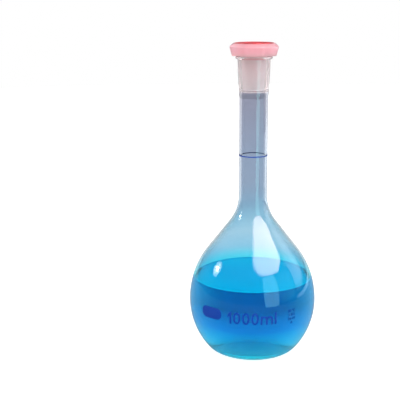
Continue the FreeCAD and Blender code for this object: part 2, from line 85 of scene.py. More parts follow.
# The solution's absorption: what it lets through, and its density per metre.
SOLUTION_ABSORBS = (0.0, 0.957, 0.996, 1.0)
SOLUTION_DENSITY = 70.0

# Where each colour lies along the height, as a rise over the level that a material names.
# Painted light and shade in the clear glass: cyan light round and over the solution, a dark band at its
# level, grey shade up the neck, and the stopper's pink light at the socket.
GLASS_OVER_LEVEL = (
    ("base_painted_light", -0.004),
    ("level_painted_shade", 0.0),
    ("glow_painted_light", 0.014),
    ("bulb_painted_shade", 0.034),
    ("shoulder_painted_shade", 0.054),
    ("root_painted_shade", 0.070),
    ("low_neck_painted_shade", 0.090),
    ("mid_neck_painted_shade", 0.116),
)
GLASS_OVER_JOINT = (("neck_painted_shade", -0.0035), ("socket_painted_light", 0.0005))
# Painted light and shade in the solution: pale low down, dark just under its surface, bright at its surface.
SOLUTION_OVER_FLOOR = (("solution_pale", 0.010), ("solution_mid", 0.037), ("solution_deep", 0.057))
SOLUTION_OVER_SURFACE = (("solution_deep", -0.0010), ("solution_top", -0.0003))
# Painted light in the stopper: pink where the insert's red shines through, fading down the plug.
PLASTIC_OVER_PLUG = (("plug", 0.002), ("plug_top", 0.022), ("flush", 0.029), ("plastic", 0.034))

# The height that the solution's painted light and shade are spread over, and how far back its painted paler
# far side begins.
SOLUTION_RAMP = 0.1
SOLUTION_BACK = 0.04

# What the highlight cards and the lamps face: the bulb's shoulder and the middle of the flask.
SHOULDER = Vector((0.015, -0.03, 0.12))
MIDDLE = Vector((0.0, 0.0, 0.16))


def length(name, default, description):
    """A size in metres."""
    return FloatProperty(name=name, default=default, description=description, min=0.0, subtype="DISTANCE",
                         unit="LENGTH", precision=5)


def angle(name, degrees, description):
    """An angle."""
    return FloatProperty(name=name, default=math.radians(degrees), description=description, subtype="ANGLE",
                         unit="ROTATION")


def colour(name, default, description):
    """A linear colour."""
    return FloatVectorProperty(name=name, default=default, description=description, size=3, min=0.0, max=1.0,
                               subtype="COLOR")


def amount(name, default, description, low=0.0, high=100.0):
    """A plain number."""
    return FloatProperty(name=name, default=default, description=description, min=low, max=high)


def narrowest(low, high):
    """The least reach of a round node from the axis, less a thousandth of a millimetre."""
    return min(high.x, high.y, -low.x, -low.y) - TINY


class GlassSizes(bpy.types.PropertyGroup):
    """Sizes of the glass flask."""
    bulb_radius: length("Bulb radius", narrowest(GLASS_LOW, GLASS_HIGH), "Widest outside radius of the bulb")
    equator_height: length("Equator height", 0.0516, "Height of the bulb's widest point")
    lower_arc: length("Lower arc", 0.0695, "Radius of the bulb's arc below the equator")
    upper_arc: length("Upper arc", 0.0811, "Radius of the bulb's arc above the equator")
    heel: length("Heel", 0.0190, "Radius between the bulb and the foot")
    shoulder_slope: angle("Shoulder slope", 38.0, "Lean of the straight shoulder from upright")
    bulb_wall: length("Bulb wall", 0.00175, "Thickness of the bulb's glass")
    neck_radius: length("Neck radius", 0.0134, "Outside radius of the neck")
    neck_wall: length("Neck wall", 0.0021, "Thickness of the neck's glass")
    neck_blend: length("Neck blend", 0.0427, "Radius between the shoulder and the neck")
    rim_height: length("Rim height", GLASS_HIGH.z, "Height of the mouth's rim")
    foot_flat: length("Foot ring", 0.0024, "Width of the flat ring the flask stands on")
    foot_roll: length("Foot roll", 0.0060, "Radius inside the foot ring")
    punt: length("Pushed-up base", 0.0040, "Height of the hollow under the base")
    base: length("Base thickness", 0.0026, "Thickness of the base at its centre")
    joint_radius: length("Joint radius", 0.0120, "Inside radius at the wide end of the ground joint")
    joint_length: length("Joint length", 0.0290, "Length of the ground joint")
    joint_lean: angle("Joint lean", 2.862, "Half angle of the ground joint")
    joint_drop: length("Joint drop", 0.0016, "Depth of the flared mouth above the joint")
    mouth_flare: length("Mouth flare", 0.0011, "How much wider the mouth is than the joint")
    mouth_soft: length("Mouth softening", 0.0007, "Radius of the corners inside the mouth")
    relief: length("Relief", 0.0018, "Length of the step below the ground joint")
    socket_top: length("Socket top", 0.0153, "Outside radius of the socket under the lip")
    socket_foot: length("Socket foot", 0.0141, "Outside radius at the lower end of the socket")
    socket_overrun: length("Socket overrun", 0.0016, "How far the socket goes on below the joint")
    socket_blend: length("Socket blend", 0.0060, "Length over which the socket narrows to the neck")
    socket_soft: length("Socket softening", 0.0025, "Radius of the corners outside the socket")
    lip_radius: length("Lip radius", 0.0172, "Outside radius of the flared lip")
    lip_depth: length("Lip depth", 0.0023, "Thickness of the flared lip")
    steps: IntProperty(name="Steps", default=180, min=24, max=360, description="Facets round the flask")


class StopperSizes(bpy.types.PropertyGroup):
    """Sizes of the stopper and its coloured insert."""
    clearance: length("Taper clearance", 0.00008, "Gap between the plug and the ground joint")
    plug_wall: length("Plug wall", 0.0013, "Thickness of the hollow plug")
    plug_floor: length("Plug floor", 0.0015, "Thickness of the plug's closed end")
    plug_soft: length("Plug softening", 0.0012, "Radius of the edge round the plug's closed end")
    hollow_soft: length("Hollow softening", 0.0003, "Radius of the corners inside the plug and the head")
    head_lift: length("Head lift", 0.0008, "Gap between the lip and the head")
    head_floor: length("Head floor", 0.0020, "Thickness of the head's underside")
    flats_bottom: length("Flats at the bottom", 0.0410, "Width across flats at the bottom of the head")
    flats_widest: length("Flats at the widest", 0.0452, "Width across flats at the widest level")
    flats_top: length("Flats at the top", 0.0384, "Width across flats at the top of the head")
    chamfer: length("Top chamfer", 0.0030, "Height of the sloping edge round the top")
    corner: length("Corner", 0.0050, "Radius of the head's upright corners")
    edge: length("Edge", 0.0010, "Radius of the moulded edges")
    recess: length("Insert recess", 0.0008, "Depth at which the insert sits in the head")
    insert_depth: length("Insert thickness", 0.0012, "Thickness of the insert's disc")
    insert_soft: length("Insert softening", 0.0004, "Radius of the insert's edges")
    insert_rim: length("Insert rim", 0.0021, "Width of the raised rim round the insert")
    dish: length("Insert dish", 0.00035, "Depth of the dish in the insert's top")
    dish_slope: length("Dish slope", 0.0005, "Width of the slope down into the dish")
    skirt_radius: length("Skirt radius", 0.0162, "Outside radius of the insert's skirt")
    skirt_wall: length("Skirt wall", 0.0013, "Thickness of the insert's skirt")
    gap: length("Insert gap", 0.00008, "Gap between the insert and the head")
    steps: IntProperty(name="Steps", default=160, min=32, max=320, description="Facets round the stopper")


class LiquidSizes(bpy.types.PropertyGroup):
    """Sizes of the solution."""
    level: length("Level", LIQUID_HIGH.z, "Height of the liquid's surface")
    bite: length("Bite", 0.00020, "How far the liquid reaches into the glass, so that no air shows between")
    meniscus: length("Meniscus", 0.0007, "How far the liquid climbs the wall")
    meniscus_fall: length("Meniscus fall", 0.0006, "Distance from the wall that loses most of the climb")
    meniscus_reach: length("Meniscus reach", 0.0032, "Distance from the wall at which the surface is flat")


class MarkSizes(bpy.types.PropertyGroup):
    """Sizes of the small printed data."""
    small_text: StringProperty(name="Small print", default="20 °C/ ± 0.4/ 24-29/ A",
                               description="Generic data on the bulb, one line after each stroke")
    small_height: length("Small print height", 0.0036, "Letter size of the small print")
    small_level: length("Small print level", 0.0500, "Height of the small print's middle")
    line_space: amount("Line spacing", 1.05, "Distance between the lines, against the letter size")
    stroke_gain: amount("Stroke gain", 0.012, "How much the letters are thickened, against the letter size")
    small_turn: angle("Small print turn", 37.0, "Turn of the small print from the front")
    enamel: length("Enamel", 0.00015, "How far the enamel stands out")


class Finishes(bpy.types.PropertyGroup):
    """Colours and finishes."""
    # The glass itself is clear. These tones are painted light and shade: cyan light round and over the
    # solution, a painted dark band at its level, grey painted shade up the neck, and the stopper's pink light
    # painted at the socket.
    base_painted_light: colour("Base tint", (0.25, 0.93, 1.0), "Tint of the glass round the solution")
    level_painted_shade: colour("Level tint", (0.07, 0.69, 0.81), "Tint of the glass at the solution's surface")
    glow_painted_light: colour("Glow tint", (0.34, 0.61, 0.74), "Tint of the glass just over the solution")
    bulb_painted_shade: colour("Bulb tint", (0.56, 0.69, 0.76), "Tint of the glass in the upper bulb")
    shoulder_painted_shade: colour("Shoulder tint", (0.455, 0.635, 0.725), "Tint of the glass on the shoulder")
    root_painted_shade: colour("Neck root tint", (0.4, 0.53, 0.63), "Tint of the glass where the neck starts")
    low_neck_painted_shade: colour("Lower neck tint", (0.44, 0.51, 0.6), "Tint of the glass in the lower neck")
    mid_neck_painted_shade: colour("Middle neck tint", (0.44, 0.5, 0.59), "Tint of the glass half way up the neck")
    neck_painted_shade: colour("Neck tint", (0.465, 0.475, 0.55), "Tint of the glass high in the neck")
    socket_painted_light: colour("Socket tint", (0.97, 0.89, 0.9), "Tint of the glass round the ground joint")
    # Painted light and shade in the solution's colour: pale low down, at its far side and on its surface,
    # dark just under its surface.
    solution_pale: colour("Solution low", (0.01, 0.97, 1.0), "Tint of the solution near the base")
    solution_mid: colour("Solution middle", (0.01, 0.2, 0.58), "Tint of the solution half way up")
    solution_deep: colour("Solution high", (0.01, 0.047, 0.175), "Tint of the solution under its surface")
    solution_back: colour("Solution far side", (0.02, 0.71, 0.97), "Tint of the solution away from the front")
    solution_top: colour("Solution surface", (0.05, 1.0, 1.0), "Tint of the solution's surface")
    # Painted light: these pinks stand in for the insert's red shining through the milky plastic.
    plastic: colour("Stopper", (1.0, 0.6, 0.67), "Natural polyethylene round the insert")
    flush: colour("Flush", (0.98, 0.7, 0.71), "Polyethylene just under the head")
    plug_top: colour("Upper plug", (0.98, 0.76, 0.79), "Polyethylene high in the plug")
    plug: colour("Plug", (0.98, 0.93, 0.95), "Polyethylene low in the plug")
    insert: colour("Insert", (0.72, 0.025, 0.045), "Red insert")
    enamel: colour("Enamel", (0.001, 0.045, 0.33), "Fired blue enamel")


class StageSizes(bpy.types.PropertyGroup):
    """Camera and lights."""
    distance: length("Camera distance", 0.8620, "How far in front of the flask the camera stands")
    height: length("Camera height", 0.3451, "Height of the camera over the floor")
    down: angle("Camera down", 12.81, "How far the camera looks down")
    pan: angle("Camera pan", 3.36, "How far the camera is turned to the left")
    roll: angle("Camera roll", -0.26, "Roll of the camera")
    lens: amount("Lens", 83.12, "Focal length in millimetres on a 36 mm sensor", 1.0, 500.0)
    floor: length("Floor", 6.0, "Half width of the floor")
    wall: length("Backdrop distance", 2.6, "How far the round backdrop stands from the flask")
    wall_height: length("Backdrop height", 0.72, "Height of the round backdrop")
    floor_drop: length("Floor drop", 0.0002, "Gap between the foot ring and the floor")
    floor_grey: amount("Floor grey", 0.60, "Brightness of the floor's own colour, 1 is white", 0.0, 1.0)
    floor_seen: amount("Floor seen", 0.90, "Brightness that the floor adds to itself when seen", 0.0, 1.0)
    room_light: amount("Room light", 0.72, "Brightness of the backdrop and the room as lamps", 0.0, 1.0)
    room_seen: amount("Room seen", 1.0, "Brightness of the backdrop and the room when seen", 0.0, 1.0)
    room_mirrored: amount("Backdrop mirrored", 0.22, "Brightness of the backdrop in reflections", 0.0, 1.0)
    ceiling: amount("Ceiling", 0.12, "Brightness of the dim ceiling in reflections, 1 is white", 0.0, 1.0)


# Outlines ------------------------------------------------------------------------------------------

def arc(centre, radius, start, end, step=math.radians(2.5)):
    """Points along an arc, both ends included."""
    count = max(2, math.ceil(abs(end - start) / step))
    turns = (start + (end - start) * share / count for share in range(count + 1))
    ways = [Vector((math.cos(turn), math.sin(turn))) for turn in turns]
    return [Vector(centre) + way * radius for way in ways]


def softened(points, radius):
    """The same straight runs with their inner corners rounded."""
    soft = [Vector(points[0])]
    for before, corner, after in zip(points, points[1:], points[2:]):
        corner = Vector(corner)
        back, ahead = (Vector(before) - corner), (Vector(after) - corner)
        opening = back.angle(ahead)
        cut = min(radius / math.tan(opening / 2), back.length * MOST_CUT, ahead.length * MOST_CUT)
        bend = cut * math.tan(opening / 2)
        inward = (back.normalized() + ahead.normalized()).normalized()
        middle = corner + inward * (bend / math.sin(opening / 2))
        start = corner + back.normalized() * cut - middle
        end = corner + ahead.normalized() * cut - middle
        turn = start.angle_signed(end)
        for step in range(CORNER_STEPS + 1):
            swing = start.copy()
            swing.rotate(Matrix.Rotation(-turn * step / CORNER_STEPS, 2))
            soft.append(middle + swing)
    soft.append(Vector(points[-1]))
    return soft


def evened(points, longest):
    """The outline with no run longer than asked, so that facets stay square."""
    dense = [points[0]]
    for start, end in zip(points, points[1:]):
        count = max(1, math.ceil((end - start).length / longest))
        dense += [start.lerp(end, share / count) for share in range(1, count + 1)]
    return dense


def joined(*runs):
    """Runs of points in one outline, without doubled points."""
    outline = []
    for run in runs:
        for point in run:
            if not outline or (Vector(point) - outline[-1]).length > TINY:
                outline.append(Vector(point))
    return outline


def heel_turn(g):
    """Angle below the horizontal where heel and lower arc meet."""
    return math.asin((g.equator_height - g.heel) / (g.lower_arc - g.heel))


def foot_radius(g):
    """Radius at which the heel touches the floor."""
    turn = heel_turn(g)
    return g.bulb_radius - g.lower_arc * (1 - math.cos(turn)) - g.heel * math.cos(turn)


def dome(apex, valley, radius):
    """Circle centred on the axis through the apex that touches the valley arc: radius and touching angle."""
    drop = valley[1] - apex
    reach = (valley[0] ** 2 + drop ** 2 - radius ** 2) / (2 * (radius - drop))
    return reach, math.atan2(drop + reach, valley[0])


def bulb_wall_line(g, inset, neck, blend):
    """One side of the bulb from the heel up to the neck, set in from the outer arcs."""
    turn, slope = heel_turn(g), g.shoulder_slope
    reach = g.upper_arc - inset
    heel = arc((foot_radius(g), g.heel), g.heel - inset, -math.pi / 2, -turn)
    lower = arc((g.bulb_radius - g.lower_arc, g.equator_height), g.lower_arc - inset, -turn, 0)
    upper = arc((g.bulb_radius - g.upper_arc, g.equator_height), reach, 0, slope)
    foot = upper[-1]
    head = Vector((neck + blend * (1 - math.cos(slope)), 0))
    head.y = foot.y + (foot.x - head.x) / math.tan(slope)
    sweep = arc((neck + blend, head.y + blend * math.sin(slope)), blend, math.pi + slope, math.pi)
    return heel, lower, upper, sweep


def glass_outline(g):
    """The glass from the middle of its underside, over the lip and down inside to the middle of its floor."""
    foot = foot_radius(g)
    inner_foot = foot - g.foot_flat
    punt, punt_turn = dome(g.punt, (inner_foot, g.foot_roll), g.foot_roll)
    under = arc((0, g.punt - punt), punt, math.pi / 2, punt_turn)
    roll = arc((inner_foot, g.foot_roll), g.foot_roll, punt_turn - math.pi, -math.pi / 2)
    outside = joined(under, roll, *bulb_wall_line(g, 0.0, g.neck_radius, g.neck_blend))
    joint_foot = g.rim_height - g.joint_drop - g.joint_length
    socket_foot = joint_foot - g.socket_overrun
    lip_under = g.rim_height - g.lip_depth
    half = g.lip_depth / 2
    bead_radius = g.lip_radius - half
    socket = softened([
        outside[-1],
        (g.neck_radius, socket_foot - g.socket_blend),
        (g.socket_foot, socket_foot),
        (g.socket_top, lip_under),
        (bead_radius, lip_under),
    ], g.socket_soft)
    bead = arc((bead_radius, g.rim_height - half), half, -math.pi / 2, math.pi / 2, step=math.radians(12))
    bore = g.neck_radius - g.neck_wall
    lower, upper, sweep = bulb_wall_line(g, g.bulb_wall, bore, g.neck_blend + g.neck_wall)[1:]
    narrow = g.joint_radius - g.joint_length * math.tan(g.joint_lean)
    mouth = softened([
        bead[-1],
        (g.joint_radius + g.mouth_flare, g.rim_height),
        (g.joint_radius, g.rim_height - g.joint_drop),
        (narrow, joint_foot),
        (bore, joint_foot - g.relief),
        sweep[-1],
    ], g.mouth_soft)
    apex = g.punt + g.base
    floor, floor_turn = dome(apex, (foot, g.heel), g.heel - g.bulb_wall)
    valley = arc((foot, g.heel), g.heel - g.bulb_wall, -heel_turn(g), floor_turn - math.pi)
    pan = arc((0, apex - floor), floor, floor_turn, math.pi / 2)
    inside = joined(mouth, sweep[::-1], upper[::-1], lower[::-1], valley, pan)
    return evened(joined(outside, socket, bead, inside), LONGEST_RUN)


def liquid_outline(g, liquid):
    """The solution from the middle of the floor, up the wall and over its surface."""
    inset = g.bulb_wall - liquid.bite
    bore = g.neck_radius - g.neck_wall + liquid.bite
    lower = bulb_wall_line(g, inset, bore, g.neck_blend + g.neck_wall - liquid.bite)[1]
    foot = foot_radius(g)
    valley_radius = g.heel - inset
    apex = g.punt + g.base - liquid.bite
    floor, floor_turn = dome(apex, (foot, g.heel), valley_radius)
    pan = arc((0, apex - floor), floor, math.pi / 2, floor_turn)
    valley = arc((foot, g.heel), valley_radius, floor_turn - math.pi, -heel_turn(g))
    centre = Vector((g.bulb_radius - g.upper_arc, g.equator_height))
    reach = g.upper_arc - inset
    turn = math.asin((liquid.level - centre.y) / reach)
    wetted = arc(centre, reach, 0, turn)
    edge = wetted[-1].x
    low = liquid.level - liquid.meniscus
    surface = []
    for step in range(MENISCUS_STEPS + 1):
        back = liquid.meniscus_reach * (step / MENISCUS_STEPS) ** 1.5
        climb = liquid.meniscus * math.exp(-back / liquid.meniscus_fall)
        surface.append(Vector((edge - back, low + climb)))
    surface.append(Vector((0, low)))
    return evened(joined(pan, valley, lower[1:], wetted, surface), LONGEST_RUN)


def head_outline(g, stopper):
    """Half the width across flats against height, from the edge of the underside to the edge of the top."""
    bottom = g.rim_height + stopper.head_lift
    shape = softened([
        (0, bottom),
        (stopper.flats_bottom / 2, bottom),
        (stopper.flats_widest / 2, PLUG_HIGH.z - stopper.chamfer),
        (stopper.flats_top / 2, PLUG_HIGH.z),
        (0, PLUG_HIGH.z),
    ], stopper.edge)
    return shape[1:-1]


def plug_outline(g, stopper):
    """The solid of the plug, from the middle of its closed end up into the head."""
    taper = math.tan(g.joint_lean)
    joint_top = g.rim_height - g.joint_drop
    top = g.rim_height + stopper.head_lift + stopper.head_floor * 0.5
    widest = g.joint_radius - stopper.clearance
    foot = PLUG_LOW.z
    end = widest - (joint_top - foot) * taper
    root = widest + (top - joint_top) * taper
    return evened(softened([(0, foot), (end, foot), (root, top), (0, top)], stopper.plug_soft), LONGEST_RUN)


def hollow_outline(g, stopper):
    """The space inside the plug and the head, up to the seat of the insert and out of the top."""
    taper = math.tan(g.joint_lean)
    joint_top = g.rim_height - g.joint_drop
    plug_top = g.rim_height + stopper.head_lift + stopper.head_floor
    widest = g.joint_radius - stopper.clearance
    end = widest - (joint_top - PLUG_LOW.z) * taper - stopper.plug_wall
    root = widest + (plug_top - joint_top) * taper - stopper.plug_wall
    skirt = stopper.skirt_radius + stopper.gap
    disc = INSERT_HIGH.x + stopper.gap
    seat = PLUG_HIGH.z - stopper.recess
    over = PLUG_HIGH.z + OVERSHOOT
    shape = softened([
        (0, PLUG_LOW.z + stopper.plug_floor),
        (end, PLUG_LOW.z + stopper.plug_floor),
        (root, plug_top),
        (skirt, plug_top),
        (skirt, seat),
        (disc, seat),
        (disc, over),
        (0, over),
    ], stopper.hollow_soft)
    return evened(shape, LONGEST_SMALL_RUN)


def insert_outline(stopper):
    """The coloured insert: a disc with a rounded rim, a faint dish in its top and a skirt below."""
    seat = INSERT_HIGH.z - stopper.insert_depth
    top = INSERT_HIGH.z
    inner = stopper.skirt_radius - stopper.skirt_wall
    edge = INSERT_HIGH.x
    shape = softened([
        (0, seat),
        (inner, seat),
        (inner, INSERT_LOW.z),
        (stopper.skirt_radius, INSERT_LOW.z),
        (stopper.skirt_radius, seat),
        (edge, seat),
        (edge, top),
        (edge - stopper.insert_rim, top),
        (edge - stopper.insert_rim - stopper.dish_slope, top - stopper.dish),
        (0, top - stopper.dish),
    ], stopper.insert_soft)
    return evened(shape, LONGEST_SMALL_RUN)


# Modelling tools ----------------------------------------------------------------------------------

def deselect():
    """Leaves edit mode and deselects everything."""
    if bpy.context.object and bpy.context.object.mode != "OBJECT":
        bpy.ops.object.mode_set(mode="OBJECT")
    bpy.ops.object.select_all(action="DESELECT")


def choose(piece):
    """Makes the piece the only one selected."""
    deselect()
    piece.select_set(True)
    bpy.context.view_layer.objects.active = piece


def close_mesh(gap):
    """Merges points nearer than the gap, turns the faces outwards and leaves edit mode."""
    bpy.ops.mesh.select_all(action="SELECT")
    bpy.ops.mesh.remove_doubles(threshold=gap)
    bpy.ops.mesh.normals_make_consistent(inside=False)
    bpy.ops.object.mode_set(mode="OBJECT")


def lathe(name, outline, steps):
    """A point extruded along the outline, then spun about the upright axis."""
    deselect()
    bpy.ops.mesh.primitive_plane_add(size=0.001)
    piece = bpy.context.object
    piece.name = name
    bpy.ops.object.mode_set(mode="EDIT")
    bpy.ops.mesh.select_all(action="SELECT")
    bpy.ops.mesh.merge(type="CENTER")
    bpy.ops.transform.translate(value=(outline[0].x, 0, outline[0].y))
    for start, end in zip(outline, outline[1:]):
        step = (end.x - start.x, 0, end.y - start.y)
        bpy.ops.mesh.extrude_region_move(TRANSFORM_OT_translate={"value": step})
    bpy.ops.mesh.select_all(action="SELECT")
    bpy.ops.mesh.spin(steps=steps, angle=FULL_TURN, center=(0, 0, 0), axis=(0, 0, 1))
    close_mesh(MERGE_GAP)
    return piece


def combine(piece, tool, operation):
    """Joins the tool to the piece, or cuts it out, and removes the tool."""
    choose(piece)
    change = piece.modifiers.new("Combine", "BOOLEAN")
    change.operation = operation
    change.solver = "EXACT"
    change.object = tool
    bpy.ops.object.modifier_apply(modifier=change.name)
    bpy.data.objects.remove(tool, do_unlink=True)


def smooth(piece, degrees):
    """Smooth shading up to that angle."""
    choose(piece)
    bpy.ops.object.shade_smooth_by_angle(angle=math.radians(degrees))


def settle(piece):
    """Puts the piece's place into its mesh."""
    choose(piece)
    bpy.ops.object.transform_apply(location=True, rotation=True, scale=True)


# Materials ----------------------------------------------------------------------------------------

def nodes_of(name):
    """A fresh material, its node tree and its main shader."""
    material = bpy.data.materials.new(name)
    material.use_nodes = True
    tree = material.node_tree
    return material, tree, tree.nodes["Principled BSDF"]


def feed(tree, socket, value):
    """Links the input to another node's output, or sets it to a plain number or colour."""
    if isinstance(value, bpy.types.NodeSocket):
        tree.links.new(value, socket)
    elif socket.type == "RGBA":
        socket.default_value = (*value, 1.0)
    else:
        socket.default_value = value


def add_axis(tree, axis):
    """The place on the piece along one axis."""
    place = tree.nodes.new("ShaderNodeTexCoord")
    split = tree.nodes.new("ShaderNodeSeparateXYZ")
    tree.links.new(place.outputs["Object"], split.inputs[0])
    return split.outputs[axis]


def new_group(name, inputs, output):
    """A node group with its named inputs and output, and the nodes at its two ends."""
    group = bpy.data.node_groups.new(name, "ShaderNodeTree")
    for label, value in inputs:
        socket = group.interface.new_socket(label, in_out="INPUT", socket_type="NodeSocketFloat")
        socket.default_value = value
    group.interface.new_socket(output, in_out="OUTPUT", socket_type="NodeSocketFloat")
    return group, group.nodes.new("NodeGroupInput"), group.nodes.new("NodeGroupOutput")


def height_group():
    """Shared node group: the share of the way up between two heights."""
    known = bpy.data.node_groups.get("Height share")
    if known:
        return known
    group, enter, leave = new_group("Height share", (("Low", 0.0), ("High", 1.0)), "Share")
    share = group.nodes.new("ShaderNodeMapRange")
    group.links.new(add_axis(group, "Z"), share.inputs["Value"])
    group.links.new(enter.outputs["Low"], share.inputs["From Min"])
    group.links.new(enter.outputs["High"], share.inputs["From Max"])
    group.links.new(share.outputs["Result"], leave.inputs["Share"])
    return group


def grain_group():
    """Shared node group: fine moulded or fired unevenness, as a height."""
    known = bpy.data.node_groups.get("Surface grain")
    if known:
        return known
    group, enter, leave = new_group("Surface grain", (("Scale", 400.0), ("Detail", 3.0)), "Height")
    place = group.nodes.new("ShaderNodeTexCoord")
    noise = group.nodes.new("ShaderNodeTexNoise")
    group.links.new(place.outputs["Object"], noise.inputs["Vector"])
    group.links.new(enter.outputs["Scale"], noise.inputs["Scale"])
    group.links.new(enter.outputs["Detail"], noise.inputs["Detail"])
    group.links.new(noise.outputs["Fac"], leave.inputs["Height"])
    return group


def add_height(tree, low, high):
    """The share of the way up between two heights."""
    height = tree.nodes.new("ShaderNodeGroup")
    height.node_tree = height_group()
    height.inputs["Low"].default_value = low
    height.inputs["High"].default_value = high
    return height.outputs["Share"]


def add_mix(tree, factor, low, high, way="MIX"):
    """Mixes two colours, each a socket or plain numbers."""
    mix = tree.nodes.new("ShaderNodeMix")
    mix.data_type = "RGBA"
    mix.blend_type = way
    feed(tree, mix.inputs["Factor"], factor)
    for socket, value in zip((socket for socket in mix.inputs if socket.type == "RGBA"), (low, high)):
        feed(tree, socket, value)
    return next(socket for socket in mix.outputs if socket.type == "RGBA")


def add_grain(tree, shader, scale, detail, strength, depth):
    """Fine unevenness on a shader's surface; returns the height."""
    grain = tree.nodes.new("ShaderNodeGroup")
    grain.node_tree = grain_group()
    grain.inputs["Scale"].default_value = scale
    grain.inputs["Detail"].default_value = detail
    bump = tree.nodes.new("ShaderNodeBump")
    bump.inputs["Strength"].default_value = strength
    bump.inputs["Distance"].default_value = depth
    tree.links.new(grain.outputs["Height"], bump.inputs["Height"])
    tree.links.new(bump.outputs["Normal"], shader.inputs["Normal"])
    return grain.outputs["Height"]


def add_ramp(tree, factor, low, high, stops):
    """Colours that change with height; each stop is a height and a colour."""
    ramp = tree.nodes.new("ShaderNodeValToRGB")
    tree.links.new(factor, ramp.inputs["Fac"])
    marks = ramp.color_ramp.elements
    for index, (height, tone) in enumerate(stops):
        place = (height - low) / (high - low)
        mark = marks[index] if index < len(marks) else marks.new(place)
        mark.position = place
        mark.color = (*tone, 1.0)
    return ramp.outputs["Color"]


def tones_over(finish, level, rises):
    """Each named finish with its height, from its rise over a level."""
    return [(level + rise, getattr(finish, name)) for name, rise in rises]


def let_through(shader, share, roughness, ior):
    """Lets that share of the light through a surface."""
    shader.inputs["Roughness"].default_value = roughness
    shader.inputs["IOR"].default_value = ior
    shader.inputs["Transmission Weight"].default_value = share


def clear_glass(finish, sizes, liquid):
    """Borosilicate glass with painted light and shade in its colour by height: clear at the base, cyan over
    the solution, greyer up the neck.
    """
    material, tree, shader = nodes_of("clear_borosilicate")
    top = sizes.rim_height
    socket = top - sizes.joint_drop - sizes.joint_length
    # The glass's colour by height is painted light and shade, not a tint of the glass itself.
    tones = tones_over(finish, liquid.level, GLASS_OVER_LEVEL)
    tones += tones_over(finish, socket, GLASS_OVER_JOINT)
    tint = add_ramp(tree, add_height(tree, 0.0, top), 0.0, top, tones)
    tree.links.new(tint, shader.inputs["Base Color"])
    let_through(shader, share=1.0, roughness=0.0, ior=GLASS_IOR)
    shader.inputs["Specular Tint"].default_value = DIM_REFLECTION
    return material


def ground_glass():
    """The frosted face of the ground joint."""
    material, tree, shader = nodes_of("ground_joint_face")
    height = add_grain(tree, shader, scale=2600.0, detail=4.0, strength=0.5, depth=0.0001)
    tint = add_mix(tree, height, (0.92, 0.90, 0.91), (0.99, 0.98, 0.98))
    tree.links.new(tint, shader.inputs["Base Color"])
    let_through(shader, share=0.75, roughness=0.55, ior=GLASS_IOR)
    return material


def blue_solution(finish, liquid):
    """Copper-blue solution with painted light and shade in its colour: painted light makes it pale low down
    and at the far side, painted shade makes it deep under its surface.
    """
    material, tree, shader = nodes_of("copper_blue_solution")
    flat = liquid.level - liquid.meniscus
    # Painted light and shade by height: pale near the floor, dark just under the surface, bright at the
    # surface.
    tones = tones_over(finish, 0.0, SOLUTION_OVER_FLOOR)
    tones += tones_over(finish, flat, SOLUTION_OVER_SURFACE)
    tint = add_ramp(tree, add_height(tree, 0.0, SOLUTION_RAMP), 0.0, SOLUTION_RAMP, tones)
    # Painted light on the far side: paler away from the front.
    away = tree.nodes.new("ShaderNodeMapRange")
    away.inputs["From Min"].default_value = LIQUID_LOW.y
    away.inputs["From Max"].default_value = SOLUTION_BACK
    away.interpolation_type = "SMOOTHSTEP"
    tree.links.new(add_axis(tree, "Y"), away.inputs["Value"])
    paler = add_mix(tree, away.outputs["Result"], tint, finish.solution_back)
    tree.links.new(paler, shader.inputs["Base Color"])
    let_through(shader, share=0.8, roughness=0.0, ior=SOLUTION_IOR)
    shader.inputs["Specular Tint"].default_value = DIM_REFLECTION
    volume = tree.nodes.new("ShaderNodeVolumeAbsorption")
    volume.inputs["Color"].default_value = SOLUTION_ABSORBS
    volume.inputs["Density"].default_value = SOLUTION_DENSITY
    tree.links.new(volume.outputs["Volume"], tree.nodes["Material Output"].inputs["Volume"])
    return material


def natural_plastic(finish):
    """Milky polyethylene, flushed with painted pink light where the insert's red shines down through it."""
    material, tree, shader = nodes_of("natural_polyethylene")
    height = add_grain(tree, shader, scale=700.0, detail=3.0, strength=0.12, depth=0.0002)
    low, high = PLUG_LOW.z, PLUG_HIGH.z
    # Painted light: pink by height, where the insert's red shines down through the plastic.
    tones = tones_over(finish, low, PLASTIC_OVER_PLUG)
    tone = add_ramp(tree, add_height(tree, low, high), low, high, tones)
    cloudy = add_mix(tree, height, (0.95, 0.95, 0.95), (1.0, 1.0, 1.0))
    tree.links.new(add_mix(tree, 1.0, tone, cloudy, "MULTIPLY"), shader.inputs["Base Color"])
    let_through(shader, share=0.6, roughness=0.40, ior=PLASTIC_IOR)
    return material


def red_plastic(finish):
    """Moulded red plastic."""
    material, tree, shader = nodes_of("red_insert_plastic")
    height = add_grain(tree, shader, scale=900.0, detail=3.0, strength=0.15, depth=0.0002)
    tone = add_mix(tree, height, [value * 0.85 for value in finish.insert], finish.insert)
    tree.links.new(tone, shader.inputs["Base Color"])
    shader.inputs["Roughness"].default_value = 0.36
    return material


def blue_enamel(finish):
    """Fired blue enamel, slightly uneven."""
    material, tree, shader = nodes_of("fired_blue_enamel")
    height = add_grain(tree, shader, scale=1500.0, detail=4.0, strength=0.2, depth=0.00005)
    tone = add_mix(tree, height, [value * 0.8 for value in finish.enamel], finish.enamel)
    tree.links.new(tone, shader.inputs["Base Color"])
    shader.inputs["Roughness"].default_value = 0.5
    shader.inputs["Specular IOR Level"].default_value = 0.15
    return material


# Operators ----------------------------------------------------------------------------------------

